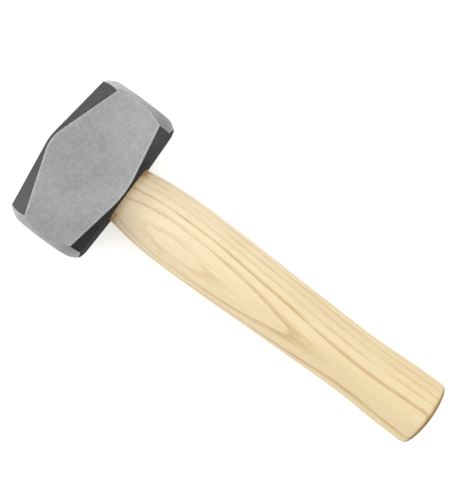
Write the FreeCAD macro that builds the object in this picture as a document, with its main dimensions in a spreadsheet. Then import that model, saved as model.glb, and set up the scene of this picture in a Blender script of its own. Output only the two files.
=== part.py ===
import FreeCAD, Part
import os

import Sketcher
from FreeCAD import Rotation, Vector

# Lump hammer: a forged head, an ash handle, a wooden wedge and two barbed steel wedges.
#
# Millimetres. The hammer lies on one cheek of its head. The origin is on that cheek, below the point where
# the striking axis and the eye's axis cross. +X runs from the head along the handle, +Y along the striking
# axis, and +Z is up. The crown is the side of the head where the wedged end of the handle shows, and the
# belly is the side it leaves from. Every piece is drawn about the hammer's middle plane and lifted by half
# the head's thickness.

# Driving dimensions in mm, and angles in degrees: alias, value, what it is.
DIMS = [
    ("head_length", 97.6, "over the two striking faces"),
    ("head_thick", 47.5, "over the two cheeks"),
    ("end_height", 47.0, "crown to belly, at the striking ends"),
    ("crown_pitch", 6.0, "angle of each half of the crown to the striking axis"),
    ("crown_top_radius", 30.0, "where the two halves of the crown meet"),
    ("belly_rise", 0.8, "how far the belly bows out between the ends"),
    ("crown_corner", 11.2, "striking axis to the cheek's crown edge, at the ends"),
    ("crown_slope", 18.7, "angle of that edge to the striking axis"),
    ("crown_apex_radius", 22.0, "where the two halves of that edge meet"),
    ("belly_corner", 16.1, "striking axis to the cheek's belly edge, at the ends"),
    ("belly_slope", 10.35, "angle of that edge to the striking axis"),
    ("belly_apex_radius", 62.0, "where the two halves of that edge meet"),
    ("face_radius", 19.0, "striking face, where its plane meets the bevel"),
    ("bevel_angle", 32.0, "turned bevel round the face, from the face's plane"),
    ("face_edge_radius", 6.0, "soft round between face and bevel"),
    ("eye_crown_x", -31.0, "section of the eye past the crown"),
    ("eye_crown_half_width", 18.7, "along the striking axis"),
    ("eye_crown_half_depth", 12.5, "cheek to cheek"),
    ("eye_waist_x", 4.0, "narrowest section of the eye"),
    ("eye_waist_half_width", 16.9, ""),
    ("eye_waist_half_depth", 10.8, ""),
    ("eye_belly_x", 27.0, "section of the eye past the belly"),
    ("eye_belly_half_width", 17.7, ""),
    ("eye_belly_half_depth", 11.7, ""),
    ("eye_rim_radius", 0.8, "edge of the eye at crown and belly"),
    ("butt_x", 240.1, "end of the handle"),
    ("butt_crown_radius", 70.0, "dome of the handle's end"),
    ("butt_edge_radius", 4.5, "round between dome and grip"),
    ("kerf_width", 1.2, "saw cut in the tenon, which is also the wooden wedge's tip"),
    ("kerf_depth", 37.0, "from the crown"),
    ("wood_wedge_length", 32.0, "from the crown"),
    ("wood_wedge_thick", 6.4, "at the crown"),
    ("steel_wedge_length", 20.0, "from the crown"),
    ("steel_wedge_thick", 3.4, "at the crown"),
    ("steel_wedge_tip", 0.6, "thickness of its tip"),
    ("steel_wedge_width", 17.0, "cheek to cheek"),
    ("left_wedge_offset", 8.9, "from the eye's axis along the striking axis"),
    ("left_wedge_lean", 6.0, "turned about the eye's axis, as a hand-driven wedge ends up"),
    ("right_wedge_offset", 8.3, ""),
    ("right_wedge_lean", 3.5, ""),
    ("barb_depth", 0.45, "step of each barb"),
]
BARBS = 4  # barbs on each face of a steel wedge

# The grip's oval sections from the head to the butt: x, half width along Y, half depth along Z.
GRIP = {
    "a": (22.0, 17.6, 12.3),
    "b": (32.0, 18.95, 13.2),
    "c": (44.0, 20.6, 14.4),
    "d": (60.0, 21.4, 15.1),
    "e": (80.0, 21.55, 15.3),
    "f": (115.0, 20.6, 14.7),
    "g": (150.0, 19.7, 14.15),
    "h": (180.0, 18.9, 13.8),
    "i": (200.0, 19.3, 14.1),
    "j": (221.0, 20.25, 14.85),
    "k": (243.0, 20.9, 15.3),
}

SECTION = ("x", "half_width", "half_depth")  # the three sizes of an oval section, of the grip or the eye
SIDES = {"left": -1, "right": 1}  # the halves of the eye, along the striking axis
OUTSIDE = 60.0  # a cutting shape reaches this far from the striking axis, clear of the head
CLEAR = 5.0  # a cutting shape runs this far past what it cuts
TOUCH = 0.01  # closer than this is the same place
# The crown is a shallow roof with a rounded ridge. These run from the striking axis to the centre of the
# ridge's rounding, and to its top.
RIDGE = (
    "(Dims.end_height / 2 + Dims.head_length / 2 * tan(Dims.crown_pitch)"
    " - Dims.crown_top_radius / cos(Dims.crown_pitch))"
)
CROWN = f"({RIDGE} + Dims.crown_top_radius)"

doc = FreeCAD.newDocument("lump_hammer")
sheet = doc.addObject("Spreadsheet::Sheet", "Dims")


def fill_sheet():
    """Writes the driving dimensions and the grip's sections as plain numbers with aliases."""
    rows = list(DIMS)
    for letter, section in GRIP.items():
        rows += [(f"grip_{part}_{letter}", size, "") for part, size in zip(SECTION, section)]
    for row, (alias, size, note) in enumerate(rows, start=1):
        sheet.set(f"A{row}", alias)
        sheet.set(f"B{row}", str(size))
        sheet.set(f"C{row}", note)
        sheet.setAlias(f"B{row}", alias)
    doc.recompute()


def lift(thing):
    """Binds a piece's height to the hammer's middle plane."""
    thing.setExpression("Placement.Base.z", "Dims.head_thick / 2")
    return thing


def add(kind, name, **values):
    """A new document object with its properties set. Text is an expression, and anything else a value."""
    thing = doc.addObject(kind, name)
    for key, setting in values.items():
        if isinstance(setting, str):
            thing.setExpression(key, setting)
        else:
            setattr(thing, key, setting)
    return thing


def origin_feature(body, role):
    return next(f for f in body.Origin.OriginFeatures if f.Role == role)


def sketch_on(body, name, role):
    """A sketch on one of the body's own origin planes."""
    sketch = body.newObject("Sketcher::SketchObject", name)
    sketch.AttachmentSupport = [(origin_feature(body, role), "")]
    sketch.MapMode = "FlatFace"
    return sketch


def value(expression):
    """What an expression comes to now."""
    return float(sheet.evalExpression(expression))


def bind(sketch, kind, *where, size):
    """Adds a dimension to the sketch and binds it to an expression."""
    index = sketch.addConstraint(Sketcher.Constraint(kind, *where, value(size)))
    sketch.setExpression(f"Constraints[{index}]", size)


def pin(sketch, edge, point, x, y):
    """Holds a point of the sketch at two expressions, measured from the sketch's origin."""
    bind(sketch, "DistanceX", -1, 1, edge, point, size=x)
    bind(sketch, "DistanceY", -1, 1, edge, point, size=y)


def places(corners):
    """Where the corners, pairs of expressions for X and Y, are now."""
    return [Vector(value(x), value(y), 0) for x, y in corners]


def draw(sketch, edges):
    for edge in edges:
        sketch.addGeometry(edge, False)


def polygon(sketch, corners):
    """A closed run of lines whose corners are pairs of expressions for X and Y."""
    starts = places(corners)
    draw(sketch, [Part.LineSegment(a, b) for a, b in zip(starts, starts[1:] + starts[:1])])
    for i, (x, y) in enumerate(corners):
        sketch.addConstraint(Sketcher.Constraint("Coincident", i, 2, (i + 1) % len(corners), 1))
        pin(sketch, i, 1, x, y)


def pad_both_ways(body, sketch, length):
    """Pads the sketch by half the length on each side of it."""
    pad = body.newObject("PartDesign::Pad", f"{body.Name}_pad")
    pad.Profile = sketch
    pad.Midplane = True
    pad.setExpression("Length", length)
    doc.recompute()
    return body


def side_profile(sketch):
    """The head seen on its cheek: two straight ends, the bowed belly and the two slopes of the crown."""
    y, x = "Dims.head_length / 2", "Dims.end_height / 2"
    radius, pitch = "Dims.crown_top_radius", "Dims.crown_pitch"
    joint_x = f"-({RIDGE} + {radius} * cos({pitch}))"
    joint_y = f"{radius} * sin({pitch})"
    corners = [
        (f"-{x}", f"-{y}"),
        (x, f"-{y}"),
        (x, y),
        (f"-{x}", y),
        (joint_x, joint_y),
        (joint_x, f"-{joint_y}"),
    ]
    a, b, c, d, e, f = places(corners)
    belly = Vector(b.x + sheet.belly_rise, 0, 0)
    top = Vector(-value(CROWN), 0, 0)
    straight, curved = Part.LineSegment, Part.Arc
    draw(sketch, [straight(a, b), curved(b, belly, c), straight(c, d)])
    draw(sketch, [straight(d, e), curved(e, top, f), straight(f, a)])
    for edge in (0, 1, 2, 5):
        sketch.addConstraint(Sketcher.Constraint("Coincident", edge, 2, (edge + 1) % 6, 1))
    for edge in range(4):
        pin(sketch, edge, 1, *corners[edge])
    bind(sketch, "Radius", 1, size=f"(({y})^2 + Dims.belly_rise^2) / (2 * Dims.belly_rise)")
    sketch.addConstraint(Sketcher.Constraint("Tangent", 3, 2, 4, 1))
    sketch.addConstraint(Sketcher.Constraint("Tangent", 4, 2, 5, 1))
    sketch.addConstraint(Sketcher.Constraint("PointOnObject", 4, 3, -1))
    bind(sketch, "DistanceX", -1, 1, 4, 3, size=f"-{RIDGE}")
    bind(sketch, "Radius", 4, size=radius)


def head_blank(name):
    """The head before its facets, bevels and eye. A second one trims the wood and the wedges flush."""
    body = lift(doc.addObject("PartDesign::Body", name))
    sketch = sketch_on(body, f"{name}_side", "XY_Plane")
    side_profile(sketch)
    return pad_both_ways(body, sketch, "Dims.head_thick")


def facet_pocket(body, side, out):
    """Cuts the two facets along one edge of the upper cheek, which fall away from it at 45 degrees.

    The cheek's edge is a shallow V with a rounded apex. side is crown or belly, and out is -1 or 1, the way
    that side faces along X.
    """
    sketch = sketch_on(body, f"{side}_facet_outline", "XY_Plane")
    sketch.setExpression("AttachmentOffset.Base.z", "Dims.head_thick / 2")
    sign = "" if out > 0 else "-"
    slope, radius = f"Dims.{side}_slope", f"Dims.{side}_apex_radius"
    # The V's arms run on to the reach, past the head's ends, and come this near to the striking axis there.
    reach = f"(Dims.head_length / 2 + {CLEAR})"
    foot = f"{sign}(Dims.{side}_corner - {CLEAR} * tan({slope}))"
    # The apex's arc has its centre on the eye's axis, and the arms meet it at the joint.
    centre = f"{sign}(Dims.{side}_corner + Dims.head_length / 2 * tan({slope}) - {radius} / cos({slope}))"
    joint_x = f"{centre} {sign or '+'} {radius} * cos({slope})"
    joint_y = f"{radius} * sin({slope})"
    corners = [
        (f"{sign}{OUTSIDE}", f"-{reach}"),
        (foot, f"-{reach}"),
        (joint_x, f"-{joint_y}"),
        (joint_x, joint_y),
        (foot, reach),
        (f"{sign}{OUTSIDE}", reach),
    ]
    a, b, c, d, e, f = places(corners)
    apex = Vector(value(f"{centre} {sign or '+'} {radius}"), 0, 0)
    lines = [Part.LineSegment(*ends) for ends in ((a, b), (b, c), (d, e), (e, f), (f, a))]
    draw(sketch, lines[:2] + [Part.Arc(c, apex, d)] + lines[2:])
    for edge in (0, 3, 4, 5):
        sketch.addConstraint(Sketcher.Constraint("Coincident", edge, 2, (edge + 1) % 6, 1))
        pin(sketch, (edge + 1) % 6, 1, *corners[(edge + 1) % 6])
    # An arc's ends are numbered anticlockwise.
    start, end = (1, 2) if out > 0 else (2, 1)
    sketch.addConstraint(Sketcher.Constraint("Tangent", 1, 2, 2, start))
    sketch.addConstraint(Sketcher.Constraint("Tangent", 2, end, 3, 1))
    sketch.addConstraint(Sketcher.Constraint("PointOnObject", 2, 3, -1))
    bind(sketch, "DistanceX", -1, 1, 2, 3, size=centre)
    bind(sketch, "Radius", 2, size=radius)
    pocket = body.newObject("PartDesign::Pocket", f"{side}_facets")
    pocket.Profile = sketch
    pocket.UseCustomVector = True
    pocket.Direction = Vector(out, 0, -1)
    pocket.AlongSketchNormal = True
    pocket.setExpression("Length", "Dims.head_thick / 2")
    doc.recompute()
    return pocket


def bevel_groove(body):
    """Turns the bevel round the striking face at the +Y end."""
    sketch = sketch_on(body, "bevel_outline", "XY_Plane")
    end, far = "Dims.head_length / 2", str(OUTSIDE)
    drop = f"(({far} - Dims.face_radius) * tan(Dims.bevel_angle))"
    polygon(sketch, [("Dims.face_radius", end), (far, f"{end} - {drop}"), (far, end)])
    groove = body.newObject("PartDesign::Groove", "bevel")
    groove.Profile = sketch
    groove.ReferenceAxis = (sketch, ["V_Axis"])
    groove.Angle = 360
    doc.recompute()
    return groove


def mirrored(body, name, originals, role):
    """Repeats the cuts on the other side of one of the body's origin planes."""
    mirror = body.newObject("PartDesign::Mirrored", name)
    mirror.Originals = originals
    mirror.MirrorPlane = (origin_feature(body, role), [""])
    body.Tip = mirror
    doc.recompute()
    return mirror


def edges_where(shape, test):
    """Numbers of the shape's edges that pass the test."""
    return [i for i, edge in enumerate(shape.Edges, start=1) if test(edge)]


def is_face_rim(edge):
    """The circle round a striking face."""
    circle = edge.Curve
    return isinstance(circle, Part.Circle) and abs(circle.Radius - sheet.face_radius) < TOUCH


def head_forging():
    """The head's outside, with no eye."""
    body = head_blank("head_forging")
    facets = [facet_pocket(body, "crown", -1), facet_pocket(body, "belly", 1)]
    mirrored(body, "lower_facets", facets, "XY_Plane")
    both_bevels = mirrored(body, "other_bevel", [bevel_groove(body)], "XZ_Plane")
    rounding = body.newObject("PartDesign::Fillet", "face_edges")
    rounding.Base = (both_bevels, [f"Edge{i}" for i in edges_where(both_bevels.Shape, is_face_rim)])
    rounding.setExpression("Radius", "Dims.face_edge_radius")
    body.Tip = rounding
    doc.recompute()
    return body


def oval(name, x, half_width, half_depth):
    """An ellipse square to the handle: its long axis along Y and its short one along Z."""
    ellipse = add("Part::Ellipse", name, MajorRadius=half_width, MinorRadius=half_depth)
    ellipse.Placement.Rotation = Rotation(Vector(0, 1, 0), Vector(0, 0, 1), Vector(1, 0, 0), "ZXY")
    ellipse.setExpression("Placement.Base.x", x)
    return lift(ellipse)


def loft(name, ovals):
    return add("Part::Loft", name, Sections=ovals, Solid=True, Ruled=False)


def eye_core():
    """The eye as a solid: narrowest at its waist, and flared to the crown and the belly."""
    ovals = []
    for part in ("crown", "waist", "belly"):
        ovals.append(oval(f"eye_{part}", *[f"Dims.eye_{part}_{size}" for size in SECTION]))
    return loft("eye_core", ovals)


def grip_blank():
    """The grip, from just inside the belly to the butt, square-ended."""
    ovals = []
    for letter in GRIP:
        ovals.append(oval(f"grip_{letter}", *[f"Dims.grip_{size}_{letter}" for size in SECTION]))
    return loft("grip_blank", ovals)


def butt_cutter():
    """What the domed end of the handle isn't: a block with a ball taken out of it."""
    ball = lift(add("Part::Sphere", "butt_ball", Radius="Dims.butt_crown_radius"))
    ball.Placement.Rotation = Rotation(Vector(0, 0, 1), 180)  # keeps its seam off the dome
    ball.setExpression("Placement.Base.x", "Dims.butt_x - Dims.butt_crown_radius")
    side = f"2 * Dims.butt_crown_radius - {2 * CLEAR}"
    block = add("Part::Box", "butt_block", Length="Dims.butt_crown_radius", Width=side, Height=side)
    block.setExpression("Placement.Base.x", f"Dims.butt_x - Dims.butt_crown_radius + {2 * CLEAR}")
    block.setExpression("Placement.Base.y", f"-Dims.butt_crown_radius + {CLEAR}")
    block.setExpression("Placement.Base.z", f"Dims.head_thick / 2 - Dims.butt_crown_radius + {CLEAR}")
    return add("Part::Cut", "butt_cutter", Base=block, Tool=ball)


def taper(length, thick, tip):
    """Half outline of a wedge, from CLEAR above the crown to its tip, as pairs of expressions."""
    top = f"(Dims.{thick} + (Dims.{thick} - Dims.{tip}) * {CLEAR} / Dims.{length}) / 2"
    return [(f"-{CROWN} - {CLEAR}", top), (f"-{CROWN} + Dims.{length}", f"Dims.{tip} / 2")]


def both_halves(half):
    """The closed outline of a wedge from its half outline."""
    return half + [(x, f"-({y})") for x, y in reversed(half)]


def eye_wide_body(name, half):
    """A wedge shape that runs right across the eye along the striking axis."""
    body = lift(doc.addObject("PartDesign::Body", name))
    sketch = sketch_on(body, f"{name}_outline", "XZ_Plane")
    polygon(sketch, both_halves(half))
    return pad_both_ways(body, sketch, f"2 * Dims.eye_crown_half_width + {2 * CLEAR}")


def wooden_taper():
    """The wooden wedge before it is trimmed to the eye and the crown."""
    return eye_wide_body("wooden_taper", taper("wood_wedge_length", "wood_wedge_thick", "kerf_width"))


def kerf():
    """What the wooden wedge and the saw cut below it take out of the tenon."""
    half = taper("wood_wedge_length", "wood_wedge_thick", "kerf_width")
    return eye_wide_body("kerf", half + [(f"-{CROWN} + Dims.kerf_depth", "Dims.kerf_width / 2")])


def steel_taper(side):
    """A steel wedge before it is trimmed flush: its faces step back into barbs that stop it backing out.

    side is left or right, the half of the eye that it stands in.
    """
    body = lift(doc.addObject("PartDesign::Body", f"steel_taper_{side}"))
    sketch = sketch_on(body, f"{body.Name}_outline", "XY_Plane")
    top, tip = taper("steel_wedge_length", "steel_wedge_thick", "steel_wedge_tip")
    half = [top]
    for i in range(1, BARBS):
        x = f"-{CROWN} + Dims.steel_wedge_length * {i} / {BARBS}"
        y = f"(Dims.steel_wedge_thick + (Dims.steel_wedge_tip - Dims.steel_wedge_thick) * {i} / {BARBS}) / 2"
        half += [(x, y), (x, f"{y} + Dims.barb_depth / 2")]
    polygon(sketch, both_halves(half + [tip]))
    pad_both_ways(body, sketch, "Dims.steel_wedge_width")
    body.Placement.Rotation = Rotation(Vector(SIDES[side], 0, 0), value(f"Dims.{side}_wedge_lean"))
    body.setExpression("Placement.Rotation.Angle", f"Dims.{side}_wedge_lean")
    body.setExpression("Placement.Base.y", f"{SIDES[side]} * Dims.{side}_wedge_offset")
    return body


def fuse(name, base, tool):
    return add("Part::Fuse", name, Base=base, Tool=tool)


def cut(name, base, tool):
    return add("Part::Cut", name, Base=base, Tool=tool)


def common(name, base, tool):
    return add("Part::Common", name, Base=base, Tool=tool)


def rounded(name, base, test, radius):
    """Part::Fillet on the edges of the base that pass the test."""
    doc.recompute()
    fillet = doc.addObject("Part::Fillet", name)
    fillet.Base = base
    fillet.Edges = [(number, radius, radius) for number in edges_where(base.Shape, test)]
    return fillet


def round_eye_mouth(edge):
    """An edge round the eye, at the crown or the belly: on the eye's wall, and shallow along its axis."""
    middle = edge.valueAt((edge.FirstParameter + edge.LastParameter) / 2)
    across = middle.y / sheet.eye_crown_half_width
    up = (middle.z - sheet.head_thick / 2) / sheet.eye_crown_half_depth
    return 0.8 < across**2 + up**2 < 1.1 and edge.BoundBox.XLength < 3


def round_dome(edge):
    """The edge between the handle's domed end and its grip."""
    return edge.BoundBox.XMin > sheet.butt_x - 2 * CLEAR


def build():
    """The five pieces, each a document object whose label names its file."""
    fill_sheet()
    blank, core = head_blank("head_blank"), eye_core()
    bored = cut("head_bored", head_forging(), core)
    head = rounded("head", bored, round_eye_mouth, sheet.eye_rim_radius)

    domed = cut("grip_domed", grip_blank(), butt_cutter())
    grip = rounded("grip_round", domed, round_dome, sheet.butt_edge_radius)
    tenon = common("tenon", core, blank)
    stick = fuse("stick", cut("grip_shouldered", grip, blank), tenon)

    steel_tapers = {side: steel_taper(side) for side in SIDES}
    both = fuse("steel_tapers", *steel_tapers.values())
    handle = cut("handle", cut("stick_sawn", stick, kerf()), both)
    wooden_wedge = cut("wooden_wedge", common("wooden_taper_in_eye", wooden_taper(), tenon), both)
    steel_wedges = [common(f"steel_wedge_{side}", shape, blank) for side, shape in steel_tapers.items()]
    doc.recompute()
    return [head, handle, wooden_wedge, *steel_wedges]


def check(pieces):
    """Stops if any object failed, or a piece isn't one sound solid."""
    for thing in doc.Objects:
        if "Invalid" in thing.State or "Error" in thing.State:
            raise RuntimeError(f"{thing.Name} failed: {thing.State}")
    for piece in pieces:
        shape = piece.Shape
        if shape.isNull() or not shape.isValid() or len(shape.Solids) != 1:
            raise RuntimeError(f"{piece.Label} isn't one valid solid")


def export(pieces):
    os.makedirs("parts", exist_ok=True)
    for piece in pieces:
        shape = piece.Shape
        shape.exportStep(f"parts/{piece.Label}.step")
        box = shape.optimalBoundingBox(False, False)
        size = f"{box.XLength:.1f} x {box.YLength:.1f} x {box.ZLength:.1f} mm"
        print(f"{piece.Label}: {shape.Volume / 1000:.1f} cc, {size}")


pieces = build()
check(pieces)
export(pieces)
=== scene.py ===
import math

import bmesh
import bpy
import numpy as np
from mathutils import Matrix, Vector, noise
from mathutils.bvhtree import BVHTree


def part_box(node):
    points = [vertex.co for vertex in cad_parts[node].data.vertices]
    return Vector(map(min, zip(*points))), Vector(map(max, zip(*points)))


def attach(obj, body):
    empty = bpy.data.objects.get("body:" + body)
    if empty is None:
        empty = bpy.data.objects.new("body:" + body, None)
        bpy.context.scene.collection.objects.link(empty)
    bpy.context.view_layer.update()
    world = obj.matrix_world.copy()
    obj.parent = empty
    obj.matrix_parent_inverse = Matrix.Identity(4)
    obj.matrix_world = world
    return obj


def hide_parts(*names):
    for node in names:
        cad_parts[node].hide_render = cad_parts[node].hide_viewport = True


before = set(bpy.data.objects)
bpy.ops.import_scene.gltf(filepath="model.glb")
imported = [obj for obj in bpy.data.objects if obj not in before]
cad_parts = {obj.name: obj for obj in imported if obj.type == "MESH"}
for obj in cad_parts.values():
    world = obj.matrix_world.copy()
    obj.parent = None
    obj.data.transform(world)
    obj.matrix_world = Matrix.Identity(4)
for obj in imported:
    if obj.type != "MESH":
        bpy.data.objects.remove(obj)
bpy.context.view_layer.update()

# A lump hammer lying on one cheek of its head, seen from straight above.
#
# Shapes are worked out in millimetres about the hammer's middle plane: x from the head along the handle, y
# along the striking axis, z up. They are lifted and scaled to the frame's metres when a mesh is made.
#
# The crown is the side of the head where the wedged end of the handle shows, and the belly is the side it
# leaves from. The cheeks are the head's two broad flat sides.

MM = 0.001


def box_mm(node):
    """A CAD node's box in millimetres, as two arrays: lowest corner and highest corner."""
    low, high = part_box(node)
    return np.array(low) / MM, np.array(high) / MM


HEAD_LOW, HEAD_HIGH = box_mm("head")
GRIP_HIGH = box_mm("handle")[1]
WOOD_WEDGE_LOW, WOOD_WEDGE_HIGH = box_mm("wooden_wedge")
MIDDLE_Z = (HEAD_LOW[2] + HEAD_HIGH[2]) / 2

# The head. Its crown is at the lowest x and its belly at the highest.
HALF_LENGTH = HEAD_HIGH[1]
HALF_THICK = (HEAD_HIGH[2] - HEAD_LOW[2]) / 2
CROWN_TOP = -HEAD_LOW[0]
BELLY_TOP = HEAD_HIGH[0]
HALF_END = 23.5  # crown and belly are this far from the striking axis at the ends
# Shallow roofs with a rounded ridge: the crown, and the cheek's edges on the crown's side and the belly's.
CROWN_ROOF = {"corner": HALF_END, "slope": math.radians(6.0), "apex_radius": 30.0}
CROWN_EDGE = {"corner": 11.2, "slope": math.radians(18.7), "apex_radius": 22.0}
BELLY_EDGE = {"corner": 16.1, "slope": math.radians(10.35), "apex_radius": 62.0}
FACE_RADIUS = 19.0
BEVEL = math.radians(32.0)
# How far a rounded edge reaches along each side that meets there: the octagon's corners, where the bevel cuts
# the sides, and round the striking face.
SIDE_ROUND, END_ROUND, FACE_ROUND = 0.4, 0.45, 1.72
# Columns of the head's mesh on each side of its octagon, from the upper cheek round by the belly.
COLUMNS_ACROSS = (44, 7, 40, 7, 44, 11, 36, 11)
# How far the surface strays: broad and small dents under the paint, and waves in the bare steel.
FORGED_DENTS, FORGED_PITS, GROUND_WAVES = 0.11, 0.045, 0.03

# The eye's oval sections: x, half width along y, half depth along z.
EYE = [(-31.0, 18.7, 12.5), (4.0, 16.9, 10.8), (27.0, 17.7, 11.7)]
EYE_RIM = 0.8
EYE_RIM_TURN = math.radians(58)  # the rim's rounding stops here, short of lying along the surface
AROUND_EYE = 160

# The handle.
AROUND_GRIP = 144
BUTT_X = GRIP_HIGH[0]
BUTT_CROWN = 70.0
BUTT_EDGE = 4.5
GRIP_END = BUTT_X - 8  # the CAD handle's sides are followed up to here, where its butt starts to round
SHOULDER = 0.6
SHOULDER_GAP = 0.05  # between the shoulder and the belly
TENON_GAP = 0.04  # between the tenon and the eye
TENON_EDGE = 0.35
TENON_PROUD = 0.35  # the tenon stands this far out of the crown
LONG_WAVES, SHORT_WAVES = 0.09, 0.03  # how far the shaped grip strays from its smooth curves

# The wedges, and the saw cut that takes the wooden one.
KERF_WIDTH = 1.2
KERF_DEPTH = 37.0
WOOD_WEDGE_LENGTH = WOOD_WEDGE_HIGH[0] + CROWN_TOP
WOOD_WEDGE_THICK = WOOD_WEDGE_HIGH[2] - WOOD_WEDGE_LOW[2]
WOOD_WEDGE_PROUD = 0.15
STEEL_WEDGES = {
    "steel_wedge_left": {"offset": -8.9, "lean": math.radians(-6.0)},
    "steel_wedge_right": {"offset": 8.3, "lean": math.radians(3.5)},
}
STEEL_THICK, STEEL_TIP, STEEL_LENGTH, STEEL_HALF_WIDTH = 3.4, 0.6, 20.0, 8.5
STEEL_PROUD = 0.25
BARBS, BARB = 4, 0.225  # teeth on each face, and the step between two
STEEL_WORN = 0.12  # bevel on its edges
# The blows that drove a steel wedge widened this much of its top, by these shares of its thickness and width.
SPREAD_DEPTH, SPREAD, SPREAD_WIDE = 0.8, 0.08, 0.006
TENON_BLOWS, WOOD_BLOWS, STEEL_BLOWS = 0.16, 0.2, 0.16  # how deep the dents at the crown are
WEDGE_GAP = 0.03  # between a wedge and the slot it fills
PAST_CROWN = -40.0  # a cutting shape starts at this x, clear of the head

# Seeds of the noise, one for each use.
SEED_FORGING, SEED_GRIP, SEED_TENON, SEED_WEDGE = 11.0, 23.0, 37.0, 53.0


# ---------------------------------------------------------------------------------------------- mesh helpers


def make_piece(name, points, faces, smooth=True):
    """A new object from points in millimetres about the middle plane."""
    mesh = bpy.data.meshes.new(name)
    lifted = np.asarray(points, float) + (0, 0, MIDDLE_Z)
    mesh.from_pydata((lifted * MM).tolist(), [], faces)
    mesh.update()
    mesh.polygons.foreach_set("use_smooth", [smooth] * len(mesh.polygons))
    piece = bpy.data.objects.new(name, mesh)
    bpy.context.scene.collection.objects.link(piece)
    return piece


def skin(rings, first, last):
    """Points and faces of a closed surface: rings of points, closed by a fan from a point at each end."""
    count, around = rings.shape[:2]
    points = np.vstack([rings.reshape(-1, 3), [first, last]])
    faces = []
    for i in range(count - 1):
        for j in range(around):
            k = (j + 1) % around
            faces.append((i * around + j, i * around + k, (i + 1) * around + k, (i + 1) * around + j))
    start, end, tail = count * around, count * around + 1, (count - 1) * around
    for j in range(around):
        k = (j + 1) % around
        faces.append((start, k, j))
        faces.append((end, tail + j, tail + k))
    return points, faces


def outward(piece):
    """Turns every face of a closed piece outward."""
    work = bmesh.new()
    work.from_mesh(piece.data)
    bmesh.ops.recalc_face_normals(work, faces=work.faces)
    work.to_mesh(piece.data)
    work.free()
    return piece


def apply_modifiers(piece):
    """Bakes the piece's modifiers into its mesh."""
    depsgraph = bpy.context.evaluated_depsgraph_get()
    mesh = bpy.data.meshes.new_from_object(piece.evaluated_get(depsgraph))
    piece.modifiers.clear()
    piece.data = mesh
    return piece


def cut_away(piece, *cutters):
    """Takes the cutters' shapes out of the piece and deletes them."""
    for cutter in cutters:
        boolean = piece.modifiers.new("cut", "BOOLEAN")
        boolean.operation = "DIFFERENCE"
        boolean.solver = "EXACT"
        boolean.object = cutter
        apply_modifiers(piece)
        bpy.data.objects.remove(cutter)


def read_points(piece):
    """The mesh's points in millimetres about the middle plane."""
    points = np.empty(len(piece.data.vertices) * 3)
    piece.data.vertices.foreach_get("co", points)
    return points.reshape(-1, 3) / MM - (0, 0, MIDDLE_Z)


def write_points(piece, points):
    piece.data.vertices.foreach_set("co", ((points + (0, 0, MIDDLE_Z)) * MM).ravel())
    piece.data.update()


def displace(piece, amounts):
    """Moves each point along its normal by an amount in millimetres."""
    normals = np.empty(len(piece.data.vertices) * 3, np.float32)
    piece.data.vertices.foreach_get("normal", normals)
    write_points(piece, read_points(piece) + normals.reshape(-1, 3).astype(float) * amounts[:, None])


def mend(piece, reach):
    """Merges the points that a cut or a bevel left almost on top of each other."""
    work = bmesh.new()
    work.from_mesh(piece.data)
    bmesh.ops.remove_doubles(work, verts=work.verts, dist=reach * MM)
    bmesh.ops.dissolve_degenerate(work, edges=work.edges, dist=reach * MM)
    work.to_mesh(piece.data)
    work.free()


def crisp(piece, angle=24.0, reach=0.003):
    """Sharpens the edges that turn more than the angle. The larger faces set the shading of the rest."""
    mend(piece, reach)
    piece.data.polygons.foreach_set("use_smooth", [True] * len(piece.data.polygons))
    piece.data.set_sharp_from_angle(angle=math.radians(angle))
    weighted = piece.modifiers.new("crisp", "WEIGHTED_NORMAL")
    weighted.keep_sharp = True
    weighted.weight = 80
    return apply_modifiers(piece)


def wave(points, size, seed):
    """Smooth noise from -1 to 1 at each point. size is a blob's in millimetres, or one along each axis."""
    scaled = points / np.broadcast_to(size, 3) + seed
    return np.array([noise.noise(p) for p in scaled.tolist()])


def store(piece, name, values):
    """Keeps a value at each point of the mesh, for its material to read."""
    attribute = piece.data.attributes.new(name, "FLOAT", "POINT")
    attribute.data.foreach_set("value", np.asarray(values, np.float32))


def bezier(a, b, c, t):
    """A point on the curve that leaves a for b and reaches c."""
    return (1 - t) ** 2 * a + 2 * t * (1 - t) * b + t**2 * c


def unit(vectors):
    return vectors / np.linalg.norm(vectors, axis=-1)[..., None]


# ---------------------------------------------------------------------------------------------- the head


def roof(y, line):
    """Distance of a shallow roof from the striking axis at y: two slopes that meet in a rounded ridge."""
    y = np.abs(y)
    slope, radius = line["slope"], line["apex_radius"]
    centre = line["corner"] + HALF_LENGTH * math.tan(slope) - radius / math.cos(slope)
    arc = centre + np.sqrt(np.maximum(radius**2 - y**2, 0))
    arm = line["corner"] + (HALF_LENGTH - y) * math.tan(slope)
    return np.where(y < radius * math.sin(slope), arc, arm)


def crown_x(y):
    return -roof(y, CROWN_ROOF)


def belly_x(y):
    """The bowed belly: an arc from end to end."""
    rise = BELLY_TOP - HALF_END
    radius = (HALF_LENGTH**2 + rise**2) / (2 * rise)
    return BELLY_TOP - radius + np.sqrt(radius**2 - y**2)


def octagon(y):
    """The eight corners of the head's section at y, as x and z, from the upper cheek's crown edge round."""
    crown, belly = -crown_x(y), belly_x(y)
    crown_edge, belly_edge = roof(y, CROWN_EDGE), roof(y, BELLY_EDGE)
    top = np.full_like(y, HALF_THICK)
    crown_z = HALF_THICK - (crown - crown_edge)
    belly_z = HALF_THICK - (belly - belly_edge)
    x = [-crown_edge, belly_edge, belly, belly, belly_edge, -crown_edge, -crown, -crown]
    z = [top, top, belly_z, -belly_z, -top, -top, -crown_z, crown_z]
    return np.stack([np.stack(x, -1), np.stack(z, -1)], -1)


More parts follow.
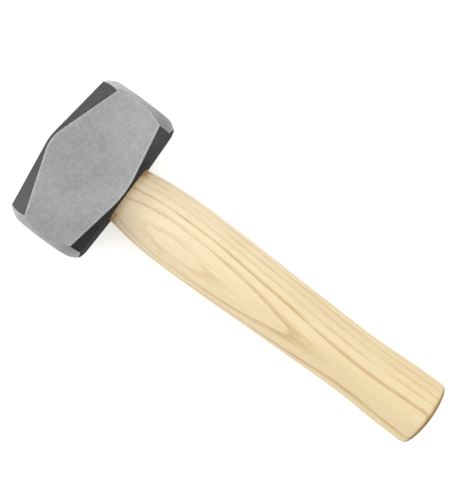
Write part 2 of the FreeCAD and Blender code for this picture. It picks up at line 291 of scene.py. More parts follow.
def head_columns():
    """Where the mesh's columns stand round the section: for each, its corner or side, and how far along it."""
    columns = []
    for side, count in enumerate(COLUMNS_ACROSS):
        columns += [(side, True, t) for t in np.linspace(0, 1, 5)]
        inner = np.linspace(0, 1, count + 2)[1:-1]
        near = 0.12 / count  # a column close to each end holds the rounding to its width
        columns += [(side, False, f) for f in [near, *inner, 1 - near]]
    side, corner, along = zip(*columns)
    return np.array(side), np.array(corner), np.array(along)


def section(y, columns):
    """Points of the rounded octagon at y, one for each column. y is an array of rows by columns."""
    side, corner, along = columns
    corners = octagon(y)
    sides = np.roll(corners, -1, axis=-2) - corners
    lengths = np.linalg.norm(sides, axis=-1)
    ways = unit(sides)
    legs = np.minimum(SIDE_ROUND, 0.4 * np.minimum(lengths, np.roll(lengths, 1, axis=-1)))

    def pick(array, which):
        index = np.broadcast_to(which, array.shape[:2])[..., None]
        return np.take_along_axis(array, index[..., None] if array.ndim == 4 else index, 2)[:, :, 0]

    following, before = (side + 1) % 8, (side - 1) % 8
    here, leg = pick(corners, side), pick(legs, side)[..., None]
    start = here + leg * pick(ways, side)
    end = pick(corners, following) - pick(legs, following)[..., None] * pick(ways, side)
    into = here - leg * pick(ways, before)
    share = along[None, :, None]
    return np.where(corner[None, :, None], bezier(into, here, start, share), start + (end - start) * share)


def solid(y, xz):
    return np.stack([xz[..., 0], y, xz[..., 1]], -1)


def head_profile():
    """Rows of points from the middle of the head's side to the centre of the +y striking face."""
    columns = head_columns()
    y = np.full((1, len(columns[0])), HALF_LENGTH)
    for _ in range(40):  # settles on the line where the bevel cuts the sides
        reach = np.linalg.norm(section(y, columns), axis=-1)
        y = HALF_LENGTH - (reach - FACE_RADIUS) * math.tan(BEVEL)
    trim = solid(y, section(y, columns))
    back = unit(solid(y - 1, section(y - 1, columns)) - trim)
    radial = unit(trim * (1, 0, 1))
    rim = radial * FACE_RADIUS + (0, HALF_LENGTH, 0)
    fall = unit(rim - trim)

    rows = []
    for step in np.append(np.linspace(0, 1, 48)[:-1], [0.9985, 1]):
        level = (y - END_ROUND) * step
        rows.append(solid(level, section(level, columns)))
    for t in np.linspace(0, 1, 5)[1:]:
        rows.append(bezier(trim + END_ROUND * back, trim, trim + END_ROUND * fall, t))
    bevel_start, bevel_end = trim + END_ROUND * fall, rim - FACE_ROUND * fall
    for t in (0.02, 0.2, 0.4, 0.6, 0.8, 0.98, 1.0):
        rows.append(bevel_start + (bevel_end - bevel_start) * t)
    inner = rim - radial * FACE_ROUND
    for t in np.linspace(0, 1, 9)[1:]:
        rows.append(bezier(bevel_end, rim, inner, t))
    for t in (0.995, *np.linspace(1, 0, 16)[1:-1]):
        rows.append(inner * (t, 1, t))
    return np.concatenate(rows)


def eye_size(x):
    """Half width and half depth of the eye at x: one smooth curve through its three sections."""
    xs, widths, depths = np.array(EYE).T
    return np.polyval(np.polyfit(xs, widths, 2), x), np.polyval(np.polyfit(xs, depths, 2), x)


def oval(x, half_width, half_depth, around):
    """A ring of points square to the handle."""
    angle = np.linspace(0, 2 * math.pi, around, endpoint=False)
    x, half_width, half_depth = (np.broadcast_to(v, around) for v in (x, half_width, half_depth))
    return np.stack([x, half_width * np.cos(angle), half_depth * np.sin(angle)], -1)


def eye_cutter():
    """The eye as a solid, opening into a rounded rim at the crown and the belly."""
    outside = 3.0  # the cutter runs on this far, past the head's surface
    turns = np.linspace(0, EYE_RIM_TURN, 7)
    flares = []
    for surface, (_, a, b), way in ((crown_x, EYE[0], -1), (belly_x, EYE[2], 1)):
        profile = [(EYE_RIM * (1 - math.sin(t)), EYE_RIM * (1 - math.cos(t))) for t in turns]
        depth, grow = profile[-1]
        profile.append((-outside, grow + (outside + depth) * math.tan(EYE_RIM_TURN)))
        flare = []
        for depth, grow in profile[::-1]:
            ring = oval(0.0, a + grow, b + grow, AROUND_EYE)
            ring[:, 0] = surface(ring[:, 1]) - way * depth
            flare.append(ring)
        flares.append(flare)
    inside = [oval(x, *eye_size(x), AROUND_EYE) for x in np.linspace(-26, 22, 14)]
    rows = np.array(flares[0] + inside + flares[1][::-1])
    return outward(make_piece("eye_cutter", *skin(rows, rows[0].mean(0), rows[-1].mean(0))))


def eye_reach(points):
    """How far each point stands outside the eye's wall, roughly."""
    a, b = eye_size(points[:, 0])
    return (np.hypot(points[:, 1] / a, points[:, 2] / b) - 1) * np.minimum(a, b)


def head_edges(points):
    """For each point, its distance to the paint's border, positive on bare steel, and to the nearest edge."""
    x, y, z = points.T
    y, z = np.minimum(np.abs(y), HALF_LENGTH), np.abs(z)
    crown_edge, belly_edge = roof(y, CROWN_EDGE), roof(y, BELLY_EDGE)
    painted = np.array([
        x - crown_x(y),
        belly_x(y) - x,
        (crown_edge + HALF_THICK + x - z) / math.sqrt(2),
        (belly_edge + HALF_THICK - x - z) / math.sqrt(2),
        np.maximum(eye_reach(points), 0),
    ])
    bevel = HALF_LENGTH - (np.hypot(x, z) - FACE_RADIUS) * math.tan(BEVEL) - y
    bare = np.array([HALF_THICK - z, bevel * math.cos(BEVEL), HALF_LENGTH - y])
    edge = np.sort(np.concatenate([painted, bare]), axis=0)[1]
    return painted.min(0) - bare.min(0), edge


def build_head():
    """The forged head: roofed crown, bowed belly, faceted cheek edges, turned bevels and the eye."""
    half = head_profile()
    mirrored = half[1:][::-1] * (1, -1, 1)
    rings = np.concatenate([mirrored, half])
    piece = outward(make_piece("forged_head", *skin(rings, (0, -HALF_LENGTH, 0), (0, HALF_LENGTH, 0))))
    cut_away(piece, eye_cutter())
    points = read_points(piece)
    paint, edge = head_edges(points)
    store(piece, "paint", np.clip(paint, -3, 3))
    store(piece, "edge", np.clip(edge, 0, 3))
    forged = FORGED_DENTS * wave(points, 17.0, SEED_FORGING) + FORGED_PITS * wave(points, 5.0, SEED_FORGING)
    ground = GROUND_WAVES * wave(points, 14.0, SEED_FORGING)
    share = np.clip((paint + 0.3) / -2.0, 0, 1)
    displace(piece, ground + (forged - ground) * share)
    return crisp(piece)


# ---------------------------------------------------------------------------------------------- the handle


def grip_sizes():
    """Half width and half depth of the grip along x, as smooth curves through the CAD handle's own sizes."""
    tree = BVHTree.FromObject(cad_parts["handle"], bpy.context.evaluated_depsgraph_get())
    xs = np.linspace(BELLY_TOP + 1.0, GRIP_END, 80)
    curves = []
    for way in (Vector((0, 1, 0)), Vector((0, 0, 1))):
        reach = [tree.ray_cast(Vector((x * MM, 0, MIDDLE_Z * MM)), way)[3] / MM for x in xs]
        curves.append(np.polynomial.Polynomial.fit(xs, reach, 10))
    return curves


def ring_on(surface, half_width, half_depth, lift=0.0):
    """A ring of the handle that follows the crown or the belly, lifted along x."""
    ring = oval(0.0, half_width, half_depth, AROUND_GRIP)
    ring[:, 0] = surface(ring[:, 1]) + lift
    return ring


def tenon_rings():
    """From the centre of the tenon's end, down its sides, to the shoulder at the belly."""
    a, b = (v - TENON_GAP for v in eye_size(EYE[0][0] + 2))
    rings = []
    for k in (0.06, 0.2, 0.35, 0.5, 0.65, 0.8, 0.9, 0.96):
        rings.append(ring_on(crown_x, (a - TENON_EDGE) * k, (b - TENON_EDGE) * k, -TENON_PROUD))
    for t in np.linspace(0, math.pi / 2, 4):
        inset = TENON_EDGE * (1 - math.sin(t))
        rings.append(ring_on(crown_x, a - inset, b - inset, TENON_EDGE * (1 - math.cos(t)) - TENON_PROUD))
    for x in np.linspace(EYE[0][0] + 5, BELLY_TOP - 3, 30):
        rings.append(oval(x, *(v - TENON_GAP for v in eye_size(x)), AROUND_GRIP))
    return rings


def grip_rings(half_width, half_depth):
    """From the shoulder against the belly to the centre of the domed butt."""
    a, b = eye_size(BELLY_TOP)
    rings = [ring_on(belly_x, a + grow, b + grow, SHOULDER_GAP) for grow in (-TENON_GAP, 0.3)]
    start = BELLY_TOP + SHOULDER + 1
    a, b = half_width(start), half_depth(start)
    for t in np.linspace(0, math.pi / 2, 5):
        inset = SHOULDER * (1 - math.sin(t))
        rings.append(ring_on(belly_x, a - inset, b - inset, SHOULDER_GAP + SHOULDER * (1 - math.cos(t))))

    def dome(reach):
        return BUTT_X - reach**2 / (2 * BUTT_CROWN)

    # The rounding leaves the side of the grip and turns until it lies along the dome.
    a, b = half_width(GRIP_END), half_depth(GRIP_END)
    turn = math.pi / 2
    for _ in range(6):
        inset = BUTT_EDGE * (1 - np.cos(turn))
        reach = np.linalg.norm(oval(0.0, a - inset, b - inset, AROUND_GRIP), axis=1)
        turn = math.pi / 2 - np.arctan(reach / BUTT_CROWN)
    end = dome(reach) - BUTT_EDGE * np.sin(turn)
    for share in np.linspace(0, 1, 200)[1:]:
        x = start + (end - start) * share
        within = np.minimum(x, GRIP_END)
        rings.append(oval(x, half_width(within), half_depth(within), AROUND_GRIP))
    for t in np.linspace(0, 1, 11)[1:]:
        inset = BUTT_EDGE * (1 - np.cos(turn * t))
        rings.append(oval(end + BUTT_EDGE * np.sin(turn * t), a - inset, b - inset, AROUND_GRIP))
    outer = rings[-1]
    for k in np.linspace(1, 0, 22)[1:-1]:
        ring = outer * (1, k, k)
        ring[:, 0] = dome(np.hypot(ring[:, 1], ring[:, 2]))
        rings.append(ring)
    return rings


def wedge_half_thickness(x, thick, tip, length):
    """Half a wedge's thickness at x, where it is thick at the crown and comes to its tip at its length."""
    return (thick + (tip - thick) * (x + CROWN_TOP) / length) / 2


def wood_wedge_half(x):
    return wedge_half_thickness(x, WOOD_WEDGE_THICK, KERF_WIDTH, WOOD_WEDGE_LENGTH)


def wooden_wedge_rings():
    """The wooden wedge's sides: flat faces, and ends that follow the eye with a little room all round."""
    face_gap, end_gap = 0.02, 0.06
    rings = []
    for x in (-CROWN_TOP, *np.linspace(-24, WOOD_WEDGE_HIGH[0], 16)):
        half = wood_wedge_half(x) - face_gap
        a, b = (v - end_gap for v in eye_size(x))
        across = np.linspace(half, -half, 7)[1:-1]
        end = a * np.sqrt(1 - (across / b) ** 2)
        side = np.linspace(-1, 1, 30) * a * np.sqrt(1 - (half / b) ** 2)
        y = np.concatenate([side, end, side[::-1], -end[::-1]])
        z = np.concatenate([np.full(30, half), across, np.full(30, -half), across[::-1]])
        rings.append(np.stack([np.full_like(y, x), y, z], -1))
    return np.array(rings)


def prism(name, outline, half_width):
    """A solid whose outline in x and z is carried along y."""
    count = len(outline)
    points = [(x, y, z) for y in (-half_width, half_width) for x, z in outline]
    faces = [tuple(range(count)), tuple(range(count, 2 * count))[::-1]]
    faces += [(i, (i + 1) % count, (i + 1) % count + count, i + count) for i in range(count)]
    return outward(make_piece(name, points, faces, smooth=False))


def kerf_cutter():
    """The saw cut with the wedge driven into it: it runs right across the tenon."""
    across_eye = 25.0
    outline = []
    for x in (PAST_CROWN, WOOD_WEDGE_HIGH[0], -CROWN_TOP + KERF_DEPTH):
        outline.append((x, wood_wedge_half(min(x, WOOD_WEDGE_HIGH[0])) + WEDGE_GAP))
    outline += [(x, -z) for x, z in outline[::-1]]
    return prism("kerf_cutter", outline, across_eye)


def steel_wedge(name, offset, lean, top, grow=0.0):
    """A steel wedge with barbed faces, standing across the eye. grow widens it all round, for its slot."""
    half = [(top, wedge_half_thickness(top, STEEL_THICK, STEEL_TIP, STEEL_LENGTH))]
    for i in range(1, BARBS):
        x = -CROWN_TOP + STEEL_LENGTH * i / BARBS
        y = wedge_half_thickness(x, STEEL_THICK, STEEL_TIP, STEEL_LENGTH)
        half += [(x, y), (x, y + BARB)]
    half.append((-CROWN_TOP + STEEL_LENGTH, STEEL_TIP / 2))
    outline = [(x, y + grow) for x, y in half]
    outline += [(x, -y) for x, y in outline[::-1]]
    piece = prism(name, outline, STEEL_HALF_WIDTH + grow)
    points = read_points(piece)[:, [0, 2, 1]]
    cos, sin = math.cos(lean), math.sin(lean)
    turn = np.array([[1, 0, 0], [0, cos, -sin], [0, sin, cos]])
    write_points(piece, points @ turn.T + (0, offset, 0))
    return outward(piece)


def steel_wedge_slots():
    """Cutters for the places that the steel wedges fill."""
    return [steel_wedge(name + "_slot", **place, top=PAST_CROWN, grow=WEDGE_GAP)
            for name, place in STEEL_WEDGES.items()]


def slice_up(piece, normal, places):
    """Adds points to a coarse piece where planes square to the normal cut it."""
    work = bmesh.new()
    work.from_mesh(piece.data)
    for place in places:
        spot = (Vector(normal) * place + Vector((0, 0, MIDDLE_Z))) * MM
        everything = work.verts[:] + work.edges[:] + work.faces[:]
        bmesh.ops.bisect_plane(work, geom=everything, plane_co=spot, plane_no=normal)
    work.to_mesh(piece.data)
    work.free()


def hammered(piece, amount, seed):
    """Roughens what stands at the crown, where the wedges were driven and the tenon was sawn off."""
    points = read_points(piece)
    at_crown = np.clip((crown_x(points[:, 1]) + 0.6 - points[:, 0]) / 0.5, 0, 1)
    blows = 0.6 * wave(points, 4.5, seed) + 0.4 * wave(points, 1.7, seed)
    points[:, 0] += amount * blows * at_crown
    write_points(piece, points)


def build_handle():
    """The ash handle: tenon, sawn and wedged, then the grip and its domed butt."""
    rings = np.array(tenon_rings() + grip_rings(*grip_sizes()))
    piece = outward(make_piece("ash_handle", *skin(rings, rings[0].mean(0), (BUTT_X, 0, 0))))
    cut_away(piece, kerf_cutter(), *steel_wedge_slots())
    points = read_points(piece)
    shaved = LONG_WAVES * wave(points, (38, 11, 11), SEED_GRIP)
    shaved += SHORT_WAVES * wave(points, (14, 5, 5), SEED_GRIP)
    displace(piece, shaved * np.clip((points[:, 0] - BELLY_TOP - 1.5) / 8, 0, 1))
    hammered(piece, TENON_BLOWS, SEED_TENON)
    return crisp(piece)


def build_wooden_wedge():
    """The wooden wedge, its end following the crown and cut by the steel ones."""
    rings = wooden_wedge_rings()
    first, last = rings[0].mean(0), rings[-1].mean(0)
    caps = [first + (rings[0] - first) * k for k in (0.25, 0.5, 0.75, 0.9, 0.97)]
    rings = np.concatenate([caps, rings])
    for ring in rings[:len(caps) + 1]:
        ring[:, 0] = crown_x(ring[:, 1]) - WOOD_WEDGE_PROUD
    centre = (crown_x(0.0) - WOOD_WEDGE_PROUD, 0, 0)
    piece = outward(make_piece("ash_wedge", *skin(rings, centre, last)))
    cut_away(piece, *steel_wedge_slots())
    hammered(piece, WOOD_BLOWS, SEED_WEDGE)
    return crisp(piece)


def build_steel_wedge(name, offset, lean):
    """A barbed wedge, its top spread a little by the hammer that drove it."""
    top = float(crown_x(np.array(offset))) - STEEL_PROUD
    piece = steel_wedge(name.replace("steel", "barbed"), offset, lean, top)
    slice_up(piece, (0, 0, 1), np.linspace(-8, 8, 17))
    slice_up(piece, (0, 1, 0), offset + np.linspace(-1.2, 1.2, 5))
    slice_up(piece, (1, 0, 0), (top + 0.3, top + SPREAD_DEPTH))
    points = read_points(piece)
    head = np.clip((top + SPREAD_DEPTH - points[:, 0]) / SPREAD_DEPTH, 0, 1)
    spread = 1 + SPREAD * head * (1 + wave(points, 3.0, SEED_WEDGE))
    points[:, 1] = offset + (points[:, 1] - offset) * spread
    points[:, 2] *= 1 + SPREAD_WIDE * head
    write_points(piece, points)
    hammered(piece, STEEL_BLOWS, SEED_WEDGE + offset)
    bevel = piece.modifiers.new("painted_light_and_wear", "BEVEL")
    bevel.width, bevel.segments, bevel.limit_method = STEEL_WORN * MM, 2, "ANGLE"
    apply_modifiers(piece)
    return crisp(piece, angle=40.0, reach=0.02)


# ---------------------------------------------------------------------------------------------- materials

OBJECT_COORDINATES, NORMAL_COORDINATES = 3, 1  # outputs of the Texture Coordinate node
NOISE_LOW, NOISE_HIGH = 0.3, 0.7  # a noise node's values mostly lie between these


class Look:
    """A material built node by node. Each method gives back the socket that carries its result."""

    def __init__(self, name):
        self.material = bpy.data.materials.new(name)
        self.material.use_nodes = True
        self.tree = self.material.node_tree
        self.shader = self.tree.nodes["Principled BSDF"]
        metres = self.node("TexCoord", output=OBJECT_COORDINATES)
        lowered = self.vector("ADD", metres, (0, 0, -MIDDLE_Z * MM))
        self.place = self.node("VectorMath", {0: lowered, "Scale": 1 / MM}, operation="SCALE")
        self.x, self.y, self.z = self.split(self.place)
        self.facing = self.node("TexCoord", output=NORMAL_COORDINATES)

    def feed(self, socket, value):
        if isinstance(value, bpy.types.NodeSocket):
            self.tree.links.new(value, socket)
        else:
            socket.default_value = value

    def node(self, kind, inputs=(), output=0, **settings):
        node = self.tree.nodes.new("ShaderNode" + kind)
        for key, value in settings.items():
            setattr(node, key, value)
        for key, value in dict(inputs).items():
            self.feed(node.inputs[key], value)
        return node.outputs[output]

    def set(self, **inputs):
        """Feeds the shader's sockets, named with _ for a space."""
        for name, value in inputs.items():
            self.feed(self.shader.inputs[name.replace("_", " ")], value)

    def split(self, vector):
        axes = self.node("SeparateXYZ", {0: vector}).node.outputs
        return axes[0], axes[1], axes[2]

    def join(self, x, y, z):
        return self.node("CombineXYZ", {0: x, 1: y, 2: z})

    def vector(self, operation, a, b):
        return self.node("VectorMath", {0: a, 1: b}, operation=operation)

    def length(self, vector):
        return self.node("VectorMath", {0: vector}, output=1, operation="LENGTH")

    def math(self, operation, a, b=0.0, c=0.0):
        return self.node("Math", {0: a, 1: b, 2: c}, operation=operation)

    def absolute(self, value):
        return self.math("ABSOLUTE", value)

    def total(self, first, *others):
        for other in others:
            first = self.math("ADD", first, other)
        return first

    def product(self, first, *others):
        for other in others:
            first = self.math("MULTIPLY", first, other)
        return first

    def curve(self, value, *terms):
        """A polynomial of the value, its terms from the constant up."""
        total = terms[-1]
        for term in terms[-2::-1]:
            total = self.math("MULTIPLY_ADD", value, total, term)
        return total

    def remap(self, value, low, high, to_low=0.0, to_high=1.0):
        """Eases from to_low to to_high as the value goes from low to high."""
        ends = {"Value": value, "From Min": low, "From Max": high, "To Min": to_low, "To Max": to_high}
        return self.node("MapRange", ends, interpolation_type="SMOOTHSTEP")

    def noise(self, size, detail=2.0, seed=0.0, point=None):
        """Noise from 0 to 1. size is a blob's size in millimetres, or one along each axis."""
        size = tuple(np.broadcast_to(size, 3).astype(float))
        scaled = self.vector("DIVIDE", self.place if point is None else point, size)
        moved = self.vector("ADD", scaled, (seed, seed, seed))
        return self.node("TexNoise", {"Vector": moved, "Scale": 1.0, "Detail": detail})

    def between(self, noise, low, high):
        """Spreads a noise over low to high."""
        return self.remap(noise, NOISE_LOW, NOISE_HIGH, low, high)

    def swing(self, noise, amount):
        """Spreads a noise over -amount to amount."""
        return self.between(noise, -amount, amount)

    def mix(self, share, a, b):
        """A colour between a and b."""
        a, b = ((*c, 1) if isinstance(c, tuple) else c for c in (a, b))
        return self.node("Mix", {0: share, 6: a, 7: b}, output=2, data_type="RGBA")

    def shade(self, colour, factor):
        """The colour times a factor."""
        return self.shade_by((*colour, 1), self.join(factor, factor, factor))

    def shade_by(self, colour, other):
        """One colour times another."""
        other = (*other, 1) if isinstance(other, tuple) else other
        colours = {0: 1.0, 6: colour, 7: other}
        return self.node("Mix", colours, output=2, data_type="RGBA", blend_type="MULTIPLY")

    def blend(self, share, a, b):
        """A number between a and b."""
        return self.node("Mix", {0: share, 2: a, 3: b}, data_type="FLOAT")

    def attribute(self, name):
        return self.node("Attribute", output=2, attribute_name=name)

    def bump(self, height, depth):
        """A normal from a height, where one unit stands for the depth in millimetres."""
        return self.node("Bump", {"Height": height, "Distance": depth * MM})


STEEL = (0.985, 0.995, 1.0)
BLASTED_LEVEL, TURNED_LEVEL = 0.262, 0.31
# The second colour is the paint greyed by dust, and by a painted light on the facets.
PAINT, DUSTY_AND_LIT_PAINT = (0.014, 0.0142, 0.015), (0.088, 0.089, 0.09)


def head_look():
    """Blasted bare cheeks, turned bevels and faces, and thin black paint on the rest."""
    look = Look("forged_steel")
    paint, edge = look.attribute("paint"), look.attribute("edge")  # stored by build_head
    facing_x, facing_y, _ = look.split(look.facing)
    turned = look.remap(look.absolute(facing_y), 0.35, 0.45)

    # Blasted steel: fine grain over faint blotches.
    grain = look.noise(0.5, 3.0)
    mottle = look.noise(1.9, 2.0, 3.0)
    cloud = look.noise(9.0, 2.0, 7.0)
    drab = look.noise(38.0, 1.0, 13.0)
    blasted = look.total(look.swing(mottle, 0.018), look.swing(cloud, 0.008), look.swing(grain, 0.026),
                         look.swing(drab, 0.015), BLASTED_LEVEL)

    # Turned steel: rings about the striking axis, some deeper, and broad uneven bands. It is darker towards the
    # belly, a painted shade.
    radius = look.join(look.length(look.join(look.x, 0.0, look.z)), 0.0, 0.0)
    fine = look.noise((0.16, 1.0, 1.0), 2.0, point=radius)
    coarse = look.noise((0.9, 1.0, 1.0), 2.0, 5.0, point=radius)
    sweep = look.noise(13.0, 2.0, 9.0)
    cut = look.total(look.swing(fine, 0.05), look.swing(coarse, 0.06), look.swing(sweep, 0.05), TURNED_LEVEL)
    belly_side_shade = look.remap(look.total(look.x, look.swing(sweep, 3.0)), 3.0, 22.0, 1.0, 0.45)
    level = look.blend(turned, blasted, look.product(cut, belly_side_shade))
    # Brighter steel along the edges: partly rubbed bare, partly a painted highlight.
    rubbed_and_highlight = look.remap(edge, 0.2, 0.9, 1.3, 1.0)
    steel = look.shade(STEEL, look.product(level, rubbed_and_highlight))

    # Thin paint, mottled and speckled. It is greyer on the crown's side, most towards -y, and at the belly's
    # +y end, less so on the crown and belly faces: a painted light where the facets face the lamps. It is more
    # matte on the belly.
    film = look.noise(3.2, 4.0, 21.0)
    patch = look.noise(14.0, 3.0, 27.0)
    dust = look.product(look.remap(film, 0.35, 0.75), look.between(patch, 0.4, 1.0))
    belly_end_light = look.remap(look.y, 10.0, 36.0, 0.05, 0.55)
    toward_minus_y_light = look.remap(look.y, -46.0, 0.0, 1.25, 0.86)
    less_on_crown_and_belly = look.remap(look.absolute(facing_x), 0.8, 0.92, 1.0, 0.45)
    painted_light_and_wear = look.product(look.remap(look.x, -18.0, 18.0, 0.7, belly_end_light), toward_minus_y_light, less_on_crown_and_belly)
    speckle = look.product(look.swing(look.noise(0.9, 3.0, 35.0), 0.12), look.total(painted_light_and_wear, 0.3))
    black = look.mix(look.total(look.math("MULTIPLY_ADD", dust, 0.25, painted_light_and_wear), speckle), PAINT, DUSTY_AND_LIT_PAINT)
    to_belly = look.remap(facing_x, 0.75, 0.95)
    paint_roughness = look.blend(to_belly, look.between(film, 0.68, 0.8), 1.0)

    ragged = look.total(paint, look.swing(look.noise(0.8, 3.0, 31.0), 0.1))
    bare = look.remap(ragged, -0.36, -0.24)
    bare_roughness = look.blend(turned, look.between(grain, 0.44, 0.52), look.between(coarse, 0.34, 0.44))
    height = look.blend(bare, look.remap(film, 0.2, 0.8), look.blend(turned, grain, fine))
    look.set(
        Base_Color=look.mix(bare, black, steel),
        Metallic=bare,
        Specular_IOR_Level=0.17,
        Roughness=look.blend(bare, paint_roughness, bare_roughness),
        Normal=look.bump(height, 0.03),
    )
    return look.material


# The pith's place beside and above the middle of the handle, as polynomials of (x - 130) / 100.
PITH_Y = (-40.0, -4.8, 0.1, 2.5)
PITH_Z = (106.4, 1.25, -0.3, 0.2, 0.5)
FIRST_RING = 96.35  # the radius where the rings are counted from
# From there out, ring n ends where the depth is ((2.4 + 0.44 n) squared - 2.4 squared) / 0.88.
RING_START, RING_STEP, RING_GROWTH = 2.4, 0.44, 0.88
FIRST_YEAR = 5608.0  # the seed of how strong each ring is
# The colour that darkens the wood against the belly: a painted shade, with some grime.
BELLY_SHADE_AND_GRIME = (0.58, 0.41, 0.24)


def wood_look(name, light, deep, dark, end, shift=(0.0, 0.0, 0.0), finish=0.5, coat=0.06):
    """Flat-sawn wood. The growth rings are round a pith far above the handle, so they run out into long arches.

    light and deep are the late wood's colour near the head and near the butt, light partly paler as a painted
    light against the head's shade. dark is the early wood's, and end is what sawn end grain, and the butt's
    rounded edge as a painted shade, multiplies them by.
    """
    look = Look(name)
    block = look.vector("ADD", look.place, shift)
    x, y, z = look.split(block)
    along = look.math("MULTIPLY_ADD", x, 0.01, -1.3)
    from_y = look.math("SUBTRACT", y, look.curve(along, *PITH_Y))
    from_z = look.math("SUBTRACT", z, look.curve(along, *PITH_Z))
    from_pith = look.join(0.0, from_y, from_z)
    wobble = look.remap(look.noise((50, 7, 7), 1.0, 2.0), 0.2, 0.8, -0.16, 0.16)
    depth = look.total(look.math("SUBTRACT", look.length(from_pith), FIRST_RING), wobble)
    # Each ring is a little wider than the one inside it.
    square = look.math("MAXIMUM", look.math("MULTIPLY_ADD", depth, RING_GROWTH, RING_START**2), 0.05)
    ring = look.math("MULTIPLY_ADD", look.math("SQRT", square), 1 / RING_STEP, -RING_START / RING_STEP)
    share, year = look.math("FRACT", ring), look.math("FLOOR", ring)

    # Early wood starts sharply and fades into the late wood.
    fade = look.remap(share, 0.02, 0.7, 1.0, 0.0)
    chance = look.node("TexWhiteNoise", {"W": look.total(year, FIRST_YEAR)}, noise_dimensions="1D")
    vigour = look.product(look.blend(chance, 0.3, 1.0), look.remap(x, 10.0, 150.0, 0.6, 1.0))
    uneven = look.between(look.noise((22, 4, 4), 3.0, 5.0), 0.6, 1.08)
    # Where the surface lies along a ring, the early wood would spread into a wide haze: it is thinned there.
    outward_way = look.node("VectorMath", {0: from_pith}, operation="NORMALIZE")
    tangent = look.node("VectorMath", {0: look.facing, 1: outward_way}, output=1, operation="DOT_PRODUCT")
    thin = look.remap(look.absolute(tangent), 0.9, 1.0, 1.0, 0.8)
    early = look.product(look.remap(share, 0.0, 0.09), fade, fade, vigour, uneven, thin)

    # Fibre, broad bands, flecks, soft clouds, and pores that are densest in the early wood.
    fibre = look.noise((34, 0.55, 0.55), 3.0, 8.0, block)
    band = look.noise((70, 2.6, 2.6), 2.0, 12.0, block)
    fleck = look.noise((4.0, 0.7, 0.7), 2.0, 15.0, block)
    cloud = look.noise((24, 5, 5), 2.0, 19.0, block)
    pore = look.remap(look.noise((5.5, 0.17, 0.17), 1.0, 4.0, block), 0.6, 0.7)
    pore = look.product(pore, look.remap(early, 0.05, 0.5, 0.22, 1.0))
    tone = look.total(look.product(early, 1.5), look.swing(fibre, 0.14), look.swing(band, 0.08),
                      look.swing(fleck, 0.1), look.between(cloud, -0.08, 0.1), look.product(pore, 0.35))
    # Paler towards the head: partly a painted light against the head's shade, partly deeper wood towards the
    # butt.
    late = look.mix(look.remap(x, 30.0, 210.0), light, deep)
    colour = look.mix(tone, late, dark)

    # Darker, browner wood against the belly, most at the sides: a painted shade where the wood meets the
    # head, with some grime.
    close = look.product(look.remap(x, BELLY_TOP + 0.8, BELLY_TOP + 6.0, 1.0, 0.0),
                         look.remap(x, 10.0, BELLY_TOP, 0.0, 1.0))
    to_sides = look.remap(look.absolute(y), 9.0, 17.0, 0.45, 1.25)
    grime_and_shade = look.product(close, to_sides, look.between(look.noise((2.0, 2.5, 2.5), 3.0, 17.0), 0.6, 1.1))
    colour = look.mix(grime_and_shade, colour, look.shade_by(colour, BELLY_SHADE_AND_GRIME))

    # Darker facing along the handle: sawn end grain, and partly a painted shade on the butt's rounded edge.
    sawn = look.remap(look.absolute(look.split(look.facing)[0]), 0.28, 0.66)
    height = look.math("SUBTRACT", look.product(fibre, 0.4), look.total(pore, look.product(early, 0.3)))
    look.set(
        Base_Color=look.mix(sawn, colour, look.shade_by(colour, end)),
        Roughness=look.total(look.between(fibre, finish - 0.04, finish + 0.04), look.product(sawn, 0.2)),
        Coat_Weight=coat,
        Coat_Roughness=0.3,
        Normal=look.bump(height, 0.05),
    )
    return look.material


def handle_look():
    # The paler colour near the head is partly a painted light against the head's shade.
    return wood_look("varnished_ash", light=(0.8, 0.665, 0.445), deep=(0.735, 0.588, 0.352),
                     dark=(0.58, 0.4, 0.19), end=(0.41, 0.335, 0.18))


def wedge_wood_look():
    beech = (0.55, 0.4, 0.25)
    return wood_look("wedge_beech", light=beech, deep=beech, dark=(0.34, 0.21, 0.11), end=(0.7, 0.62, 0.5),
                     shift=(0.0, 70.0, -60.0), finish=0.62, coat=0.0)


def wedge_steel_look():
    """Stamped steel, struck and ground: dark with brighter high spots and scratches across the top."""
    look = Look("stamped_steel")
    struck = look.noise(2.2, 3.0, 2.0)
    scratch = look.noise((3.0, 0.12, 4.0), 2.0, 6.0)
    grime_and_shade = look.noise(0.7, 4.0, 9.0)
    level = look.total(look.remap(struck, 0.35, 0.65, 0.23, 0.32), look.remap(scratch, 0.5, 0.75, 0.0, 0.07))
    level = look.product(level, look.remap(grime_and_shade, 0.35, 0.6, 0.8, 1.0))
    look.set(
        Base_Color=look.shade((1.0, 0.97, 0.93), level),
        Metallic=1.0,
        Roughness=look.remap(struck, 0.35, 0.65, 0.54, 0.44),
        Normal=look.bump(look.total(scratch, grime_and_shade), 0.015),
    )
    return look.material


# ---------------------------------------------------------------------------------------------- the pieces


def install(piece, node, material):
    """Puts a piece in its CAD node's place."""
    piece.data.materials.clear()
    piece.data.materials.append(material)
    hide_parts(node)
    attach(piece, "root")


install(build_head(), "head", head_look())
install(build_handle(), "handle", handle_look())
install(build_wooden_wedge(), "wooden_wedge", wedge_wood_look())
stamped_steel = wedge_steel_look()
for name, place in STEEL_WEDGES.items():
    install(build_steel_wedge(name, **place), name, stamped_steel)


# ---------------------------------------------------------------------------------------------- staging

FLOOR_HALF_SIZE = 40.0
FLOOR_GLOW = 0.45  # keeps the floor white in the picture, as the photo's background is
AIM = Vector((0.08, 0.0, 0.0))  # the softboxes face this point, near the middle of the hammer
CAMERA_HEIGHT = 0.862  # above the hammer's middle plane


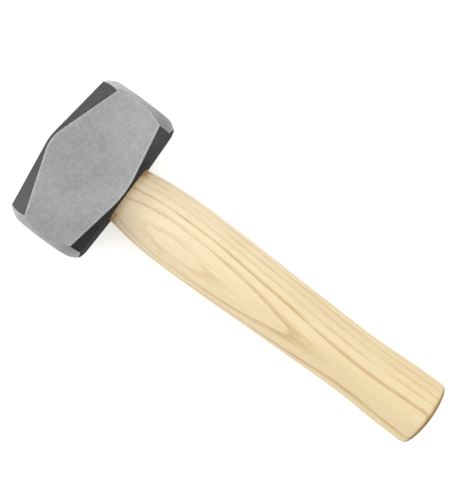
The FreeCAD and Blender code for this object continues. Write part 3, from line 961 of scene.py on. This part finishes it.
def add_floor():
    mesh = bpy.data.meshes.new("floor")
    corners = [(x * FLOOR_HALF_SIZE, y * FLOOR_HALF_SIZE, 0) for x, y in ((-1, -1), (1, -1), (1, 1), (-1, 1))]
    mesh.from_pydata(corners, [], [(0, 1, 2, 3)])
    material = bpy.data.materials.new("pale_floor")
    material.use_nodes = True
    sockets = material.node_tree.nodes["Principled BSDF"].inputs
    sockets["Base Color"].default_value = (0.8, 0.8, 0.8, 1)
    sockets["Roughness"].default_value = 0.9
    sockets["Emission Color"].default_value = (1, 1, 1, 1)
    sockets["Emission Strength"].default_value = FLOOR_GLOW
    mesh.materials.append(material)
    floor = bpy.data.objects.new("floor", mesh)
    bpy.context.scene.collection.objects.link(floor)


def add_softbox(name, direction, distance, size, radiance):
    """A rectangular light that faces the hammer and that the camera doesn't see."""
    data = bpy.data.lights.new(name, "AREA")
    data.shape = "RECTANGLE"
    data.size, data.size_y = size
    data.energy = radiance * math.pi * size[0] * size[1]
    light = bpy.data.objects.new(name, data)
    direction = Vector(direction).normalized()
    light.location = AIM + direction * distance
    light.rotation_euler = direction.to_track_quat("Z", "Y").to_euler()
    light.visible_camera = False
    bpy.context.scene.collection.objects.link(light)


def add_camera():
    """The photo's view: straight down, turned so that the handle runs to the lower right."""
    data = bpy.data.cameras.new("camera")
    data.lens = 112.5
    data.sensor_width = 36
    camera = bpy.data.objects.new("camera", data)
    camera.location = (0.08644, 0.01359, MIDDLE_Z * MM + CAMERA_HEIGHT)
    camera.rotation_euler = (0, 0, math.radians(36.6))
    bpy.context.scene.collection.objects.link(camera)
    bpy.context.scene.camera = camera


def add_world():
    world = bpy.data.worlds.new("studio")
    world.use_nodes = True
    world.node_tree.nodes["Background"].inputs[0].default_value = (0.45, 0.45, 0.45, 1)
    bpy.context.scene.world = world


add_floor()
add_softbox("overhead", direction=(0.15, 0.25, 1), distance=1.7, size=(2.2, 2.2), radiance=1.75)
add_softbox("key", direction=(-0.95, -0.3, 0.45), distance=1.7, size=(1.8, 1.0), radiance=2.8)
add_camera()
add_world()
bpy.context.scene.view_settings.view_transform = "Standard"
